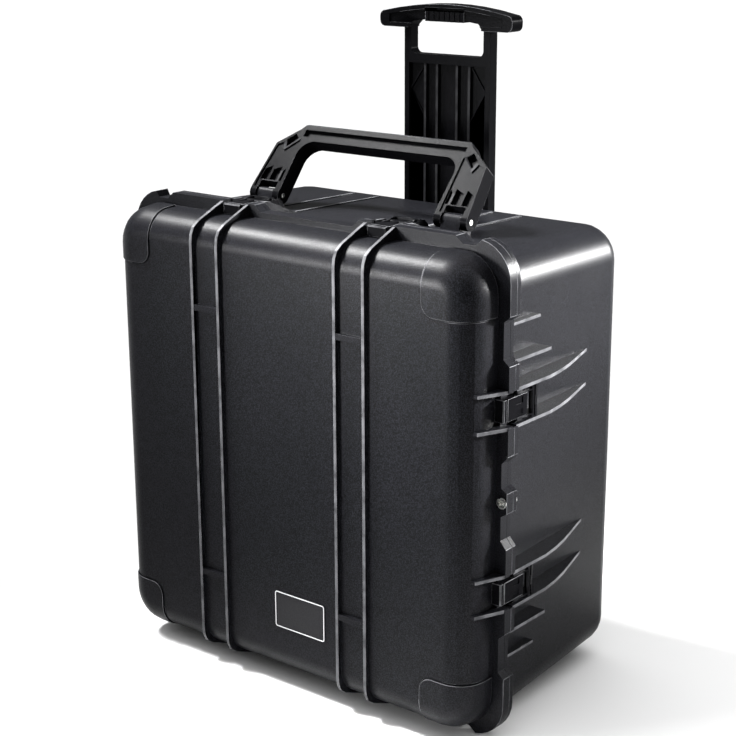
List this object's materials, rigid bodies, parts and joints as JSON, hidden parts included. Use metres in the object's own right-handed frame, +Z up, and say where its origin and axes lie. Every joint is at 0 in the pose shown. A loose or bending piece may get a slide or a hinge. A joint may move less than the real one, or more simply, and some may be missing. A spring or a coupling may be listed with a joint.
{
  "type": "wheeled hard equipment case",
  "caption": "Wheeled hard equipment case: deep ribbed base, hinged lid with draw latches, folding carry handle, pull-out trolley handle and rear wheels",
  "frame": {"origin": "centre of the overall bounding box on the floor it stands on, with the trolley handle pulled out", "axes": "+X to the latch side, +Y from lid to back, +Z up; the lid faces -Y"},
  "size_m": [0.6909, 0.414, 0.9634],
  "materials": {
    "shell_black": "fine moulded texture, satin",
    "trim_black": "smooth satin moulding",
    "rubber_black": "matt rubber",
    "tyre_grey": "matt polyurethane",
    "steel": "stainless",
    "plate_grey": "blank satin plate"
  },
  "bodies": {
    "base": {"base_shell": "shell_black", "padlock_eyelet_base": "steel", "hinge_pin_upper": "steel", "hinge_pin_lower": "steel", "handle_pin_left": "steel", "handle_pin_right": "steel", "trolley_cover": "trim_black", "cover_screw_1": "steel", "cover_screw_2": "steel", "cover_screw_3": "steel", "cover_screw_4": "steel", "cover_screw_5": "steel", "cover_screw_6": "steel", "wheel_axle_left": "steel", "wheel_axle_right": "steel", "foot_left": "rubber_black", "foot_right": "rubber_black", "pressure_valve": "trim_black", "valve_nut": "trim_black", "latch_pivot_pin_top_left": "steel", "latch_pivot_pin_top_right": "steel", "latch_pivot_pin_bottom_left": "steel", "latch_pivot_pin_bottom_right": "steel", "latch_pivot_pin_side_upper": "steel", "latch_pivot_pin_side_lower": "steel"},
    "lid": {"lid_shell": "shell_black", "lid_gasket": "rubber_black", "name_plate": "plate_grey", "padlock_eyelet_lid": "steel"},
    "lever_top_left": {"latch_lever_top_left": "trim_black", "latch_hook_pin_top_left": "steel"},
    "hook_top_left": {"latch_hook_top_left": "trim_black"},
    "lever_top_right": {"latch_lever_top_right": "trim_black", "latch_hook_pin_top_right": "steel"},
    "hook_top_right": {"latch_hook_top_right": "trim_black"},
    "lever_bottom_left": {"latch_lever_bottom_left": "trim_black", "latch_hook_pin_bottom_left": "steel"},
    "hook_bottom_left": {"latch_hook_bottom_left": "trim_black"},
    "lever_bottom_right": {"latch_lever_bottom_right": "trim_black", "latch_hook_pin_bottom_right": "steel"},
    "hook_bottom_right": {"latch_hook_bottom_right": "trim_black"},
    "lever_side_upper": {"latch_lever_side_upper": "trim_black", "latch_hook_pin_side_upper": "steel"},
    "hook_side_upper": {"latch_hook_side_upper": "trim_black"},
    "lever_side_lower": {"latch_lever_side_lower": "trim_black", "latch_hook_pin_side_lower": "steel"},
    "hook_side_lower": {"latch_hook_side_lower": "trim_black"},
    "handle": {"carry_handle": "trim_black"},
    "trolley": {"trolley_handle": "trim_black"},
    "release": {"release_trigger": "trim_black", "release_linkage": "steel"},
    "wheel_left": {"wheel_tyre_left": "tyre_grey", "wheel_hub_left": "trim_black", "wheel_bearing_left": "steel"},
    "wheel_right": {"wheel_tyre_right": "tyre_grey", "wheel_hub_right": "trim_black", "wheel_bearing_right": "steel"}
  },
  "joints": [
    {"name": "lid_hinge", "type": "hinge", "parent": "base", "child": "lid", "pos_m": [-0.34, -0.1243, 0.35], "axis": [0, 0, -1], "range_deg": [0, 105]},
    {"name": "latch_lever_top_left", "type": "hinge", "parent": "base", "child": "lever_top_left", "pos_m": [-0.1328, -0.1118, 0.69], "axis": [1, 0, 0], "range_deg": [0, 100]},
    {"name": "latch_hook_top_left", "type": "hinge", "parent": "lever_top_left", "child": "hook_top_left", "pos_m": [-0.1328, -0.0938, 0.6885], "axis": [1, 0, 0], "range_deg": [-100, 0]},
    {"name": "latch_lever_top_right", "type": "hinge", "parent": "base", "child": "lever_top_right", "pos_m": [0.1328, -0.1118, 0.69], "axis": [1, 0, 0], "range_deg": [0, 100]},
    {"name": "latch_hook_top_right", "type": "hinge", "parent": "lever_top_right", "child": "hook_top_right", "pos_m": [0.1328, -0.0938, 0.6885], "axis": [1, 0, 0], "range_deg": [-100, 0]},
    {"name": "latch_lever_bottom_left", "type": "hinge", "parent": "base", "child": "lever_bottom_left", "pos_m": [-0.1328, -0.1118, 0.01], "axis": [-1, 0, 0], "range_deg": [0, 100]},
    {"name": "latch_hook_bottom_left", "type": "hinge", "parent": "lever_bottom_left", "child": "hook_bottom_left", "pos_m": [-0.1328, -0.0938, 0.0115], "axis": [-1, 0, 0], "range_deg": [-100, 0]},
    {"name": "latch_lever_bottom_right", "type": "hinge", "parent": "base", "child": "lever_bottom_right", "pos_m": [0.1328, -0.1118, 0.01], "axis": [-1, 0, 0], "range_deg": [0, 100]},
    {"name": "latch_hook_bottom_right", "type": "hinge", "parent": "lever_bottom_right", "child": "hook_bottom_right", "pos_m": [0.1328, -0.0938, 0.0115], "axis": [-1, 0, 0], "range_deg": [-100, 0]},
    {"name": "latch_lever_side_upper", "type": "hinge", "parent": "base", "child": "lever_side_upper", "pos_m": [0.337, -0.1118, 0.478], "axis": [0, 0, -1], "range_deg": [0, 100]},
    {"name": "latch_hook_side_upper", "type": "hinge", "parent": "lever_side_upper", "child": "hook_side_upper", "pos_m": [0.3355, -0.0938, 0.478], "axis": [0, 0, -1], "range_deg": [-100, 0]},
    {"name": "latch_lever_side_lower", "type": "hinge", "parent": "base", "child": "lever_side_lower", "pos_m": [0.337, -0.1118, 0.222], "axis": [0, 0, -1], "range_deg": [0, 100]},
    {"name": "latch_hook_side_lower", "type": "hinge", "parent": "lever_side_lower", "child": "hook_side_lower", "pos_m": [0.3355, -0.0938, 0.222], "axis": [0, 0, -1], "range_deg": [-100, 0]},
    {"name": "carry_handle_hinge", "type": "hinge", "parent": "base", "child": "handle", "pos_m": [0, -0.0242, 0.6902], "axis": [-1, 0, 0], "range_deg": [-40, 50]},
    {"name": "trolley_slide", "type": "slide", "parent": "base", "child": "trolley", "axis": [0, 0, 1], "range_m": [-0.285, 0]},
    {"name": "release_slide", "type": "slide", "parent": "trolley", "child": "release", "axis": [0, 0, 1], "range_m": [0, 0.005], "stiffness_N_per_m": 300, "springref_m": -0.006},
    {"name": "wheel_spin_left", "type": "hinge", "parent": "base", "child": "wheel_left", "pos_m": [-0.211, 0.1652, 0.0385], "axis": [1, 0, 0], "continuous": true},
    {"name": "wheel_spin_right", "type": "hinge", "parent": "base", "child": "wheel_right", "pos_m": [0.211, 0.1652, 0.0385], "axis": [1, 0, 0], "continuous": true}
  ],
  "couplings": [
    {"joint": "latch_hook_top_left", "follows": "latch_lever_top_left", "ratio": -1},
    {"joint": "latch_hook_top_right", "follows": "latch_lever_top_right", "ratio": -1},
    {"joint": "latch_hook_bottom_left", "follows": "latch_lever_bottom_left", "ratio": -1},
    {"joint": "latch_hook_bottom_right", "follows": "latch_lever_bottom_right", "ratio": -1},
    {"joint": "latch_hook_side_upper", "follows": "latch_lever_side_upper", "ratio": -1},
    {"joint": "latch_hook_side_lower", "follows": "latch_lever_side_lower", "ratio": -1}
  ]
}
